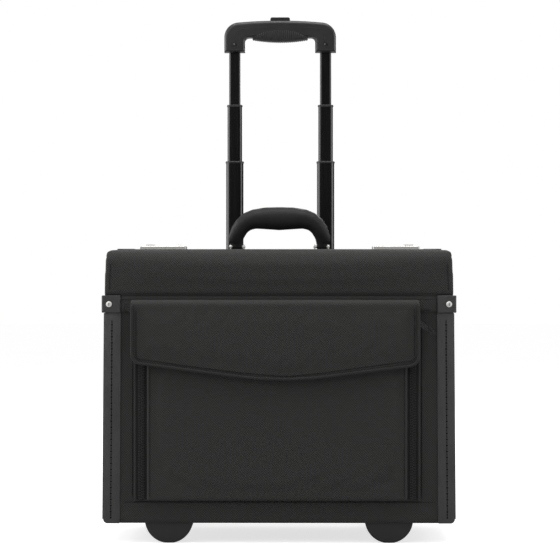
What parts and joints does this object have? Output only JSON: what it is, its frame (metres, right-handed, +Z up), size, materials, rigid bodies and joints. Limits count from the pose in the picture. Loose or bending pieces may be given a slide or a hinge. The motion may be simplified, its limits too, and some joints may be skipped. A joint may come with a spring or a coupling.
{
  "type": "pilot rolling flight case",
  "caption": "Soft-sided pilot case on wheels with a split top, front zip pocket under a flap, combination locks, carry handle and telescopic trolley handle.",
  "frame": {"origin": "centre of the bounding box, on the floor under the feet and wheels", "axes": "+X to the right seen from the front, +Y towards the trolley handle at the back, +Z up"},
  "size_m": [0.4826, 0.272, 0.744],
  "materials": {
    "nylon": "matt twill weave",
    "leather_trim": "semi-gloss fine grain",
    "handle_leather": "soft satin",
    "lining": "plain lining",
    "zip_tape": "herringbone tape",
    "zip_teeth": "satin coil",
    "zip_metal": "black lacquer",
    "nickel": "polished nickel",
    "steel": "brushed",
    "foot_plastic": "fine texture",
    "tube_black": "black anodised satin",
    "collar_plastic": "matt",
    "grip_plastic": "fine texture",
    "grip_rubber": "soft matt",
    "hub_plastic": "satin",
    "tyre_rubber": "matt",
    "dial_brass": "plated"
  },
  "bodies": {
    "case": {"front_panel": "nylon", "back_panel": "nylon", "side_panel_l": "nylon", "side_panel_r": "nylon", "bottom_panel": "nylon", "corner_trims": "leather_trim", "hinge_band": "nylon", "hinge_tabs": "leather_trim", "tab_rivets": "nickel", "pocket_gusset": "nylon", "pocket_panel": "nylon", "zip_tape": "zip_tape", "zip_teeth": "zip_teeth", "feet": "foot_plastic", "wheel_housings": "foot_plastic", "axle_pins": "steel", "back_cover": "nylon", "trolley_bezel": "foot_plastic", "outer_tubes": "tube_black", "rim_frame": "steel", "base_board": "lining", "divider": "lining"},
    "front_wing": {"wing_shell": "nylon", "leather_patches": "leather_trim", "lock_body_l": "nickel", "lock_body_r": "nickel", "handle_brackets": "nickel"},
    "rear_lid": {"rear_flap": "nylon", "lock_strikes": "nickel"},
    "flap": {"pocket_flap": "nylon", "flap_piping": "leather_trim"},
    "slider_left": {"zip_slider_l": "zip_metal"},
    "slider_right": {"zip_slider_r": "zip_metal"},
    "pull_left": {"zip_pull_l": "zip_metal"},
    "pull_right": {"zip_pull_r": "zip_metal"},
    "stage_1": {"stage1_tubes": "tube_black", "stage1_collars": "collar_plastic"},
    "stage_2": {"stage2_tubes": "tube_black", "stage2_collars": "collar_plastic"},
    "stage_3": {"stage3_tubes": "tube_black", "grip_shell": "grip_plastic", "grip_insert": "grip_rubber"},
    "release": {"release_button": "grip_plastic", "push_rods": "steel"},
    "carry": {"carry_handle": "handle_leather"},
    "thumb_left": {"thumb_slide_l": "nickel"},
    "thumb_right": {"thumb_slide_r": "nickel"},
    "hasp_left": {"hasp_l": "nickel"},
    "hasp_right": {"hasp_r": "nickel"},
    "wheel_left": {"wheel_hub_l": "hub_plastic", "wheel_tyre_l": "tyre_rubber"},
    "wheel_right": {"wheel_hub_r": "hub_plastic", "wheel_tyre_r": "tyre_rubber"},
    "dial_l1": {"dial_l1": "dial_brass"},
    "dial_l2": {"dial_l2": "dial_brass"},
    "dial_l3": {"dial_l3": "dial_brass"},
    "dial_r1": {"dial_r1": "dial_brass"},
    "dial_r2": {"dial_r2": "dial_brass"},
    "dial_r3": {"dial_r3": "dial_brass"}
  },
  "joints": [
    {"name": "front_wing_hinge", "type": "hinge", "parent": "case", "child": "front_wing", "pos_m": [0, -0.119, 0.338], "axis": [1, 0, 0], "range_deg": [0, 105]},
    {"name": "rear_flap_hinge", "type": "hinge", "parent": "case", "child": "rear_lid", "pos_m": [0, 0.0985, 0.3995], "axis": [-1, 0, 0], "range_deg": [0, 88]},
    {"name": "pocket_flap_hinge", "type": "hinge", "parent": "case", "child": "flap", "pos_m": [-0.0049, -0.118, 0.331], "axis": [1, 0, 0], "range_deg": [-105, 0]},
    {"name": "zip_left_run", "type": "slide", "parent": "case", "child": "slider_left", "axis": [0, 0, 1], "range_m": [-0.235, 0]},
    {"name": "zip_right_run", "type": "slide", "parent": "case", "child": "slider_right", "axis": [0, 0, 1], "range_m": [-0.235, 0]},
    {"name": "zip_left_pull_swivel", "type": "hinge", "parent": "slider_left", "child": "pull_left", "pos_m": [-0.187, -0.1275, 0.306], "axis": [0, 1, 0], "range_deg": [-120, 0]},
    {"name": "zip_right_pull_swivel", "type": "hinge", "parent": "slider_right", "child": "pull_right", "pos_m": [0.182, -0.1275, 0.306], "axis": [0, 1, 0], "range_deg": [-25, 50]},
    {"name": "trolley_stage_1", "type": "slide", "parent": "case", "child": "stage_1", "axis": [0, 0, 1], "range_m": [-0.153, 0.09]},
    {"name": "trolley_stage_2", "type": "slide", "parent": "stage_1", "child": "stage_2", "axis": [0, 0, 1], "range_m": [-0.079, 0.09]},
    {"name": "trolley_stage_3", "type": "slide", "parent": "stage_2", "child": "stage_3", "axis": [0, 0, 1], "range_m": [-0.074, 0.09]},
    {"name": "release_press", "type": "slide", "parent": "stage_3", "child": "release", "axis": [0, 0, -1], "range_m": [0, 0.0035], "stiffness_N_per_m": 600, "springref_m": -0.003},
    {"name": "carry_handle_fold", "type": "hinge", "parent": "front_wing", "child": "carry", "pos_m": [0, -0.03, 0.4045], "axis": [1, 0, 0], "range_deg": [-75, 75]},
    {"name": "thumb_left_slide", "type": "slide", "parent": "front_wing", "child": "thumb_left", "axis": [-1, 0, 0], "range_m": [0, 0.004], "stiffness_N_per_m": 200, "springref_m": -0.002},
    {"name": "thumb_right_slide", "type": "slide", "parent": "front_wing", "child": "thumb_right", "axis": [1, 0, 0], "range_m": [0, 0.004], "stiffness_N_per_m": 200, "springref_m": -0.002},
    {"name": "hasp_left_hinge", "type": "hinge", "parent": "front_wing", "child": "hasp_left", "pos_m": [-0.163, -0.0135, 0.4035], "axis": [1, 0, 0], "range_deg": [0, 70]},
    {"name": "hasp_right_hinge", "type": "hinge", "parent": "front_wing", "child": "hasp_right", "pos_m": [0.163, -0.0135, 0.4035], "axis": [1, 0, 0], "range_deg": [0, 70]},
    {"name": "wheel_left_spin", "type": "hinge", "parent": "case", "child": "wheel_left", "pos_m": [-0.15, 0.1085, 0.0275], "axis": [1, 0, 0], "continuous": true},
    {"name": "wheel_right_spin", "type": "hinge", "parent": "case", "child": "wheel_right", "pos_m": [0.15, 0.1085, 0.0275], "axis": [1, 0, 0], "continuous": true},
    {"name": "dial_l1_turn", "type": "hinge", "parent": "front_wing", "child": "dial_l1", "pos_m": [-0.138, -0.031, 0.4049], "axis": [1, 0, 0], "continuous": true},
    {"name": "dial_l2_turn", "type": "hinge", "parent": "front_wing", "child": "dial_l2", "pos_m": [-0.1422, -0.031, 0.4049], "axis": [1, 0, 0], "continuous": true},
    {"name": "dial_l3_turn", "type": "hinge", "parent": "front_wing", "child": "dial_l3", "pos_m": [-0.1464, -0.031, 0.4049], "axis": [1, 0, 0], "continuous": true},
    {"name": "dial_r1_turn", "type": "hinge", "parent": "front_wing", "child": "dial_r1", "pos_m": [0.138, -0.031, 0.4049], "axis": [1, 0, 0], "continuous": true},
    {"name": "dial_r2_turn", "type": "hinge", "parent": "front_wing", "child": "dial_r2", "pos_m": [0.1422, -0.031, 0.4049], "axis": [1, 0, 0], "continuous": true},
    {"name": "dial_r3_turn", "type": "hinge", "parent": "front_wing", "child": "dial_r3", "pos_m": [0.1464, -0.031, 0.4049], "axis": [1, 0, 0], "continuous": true}
  ]
}
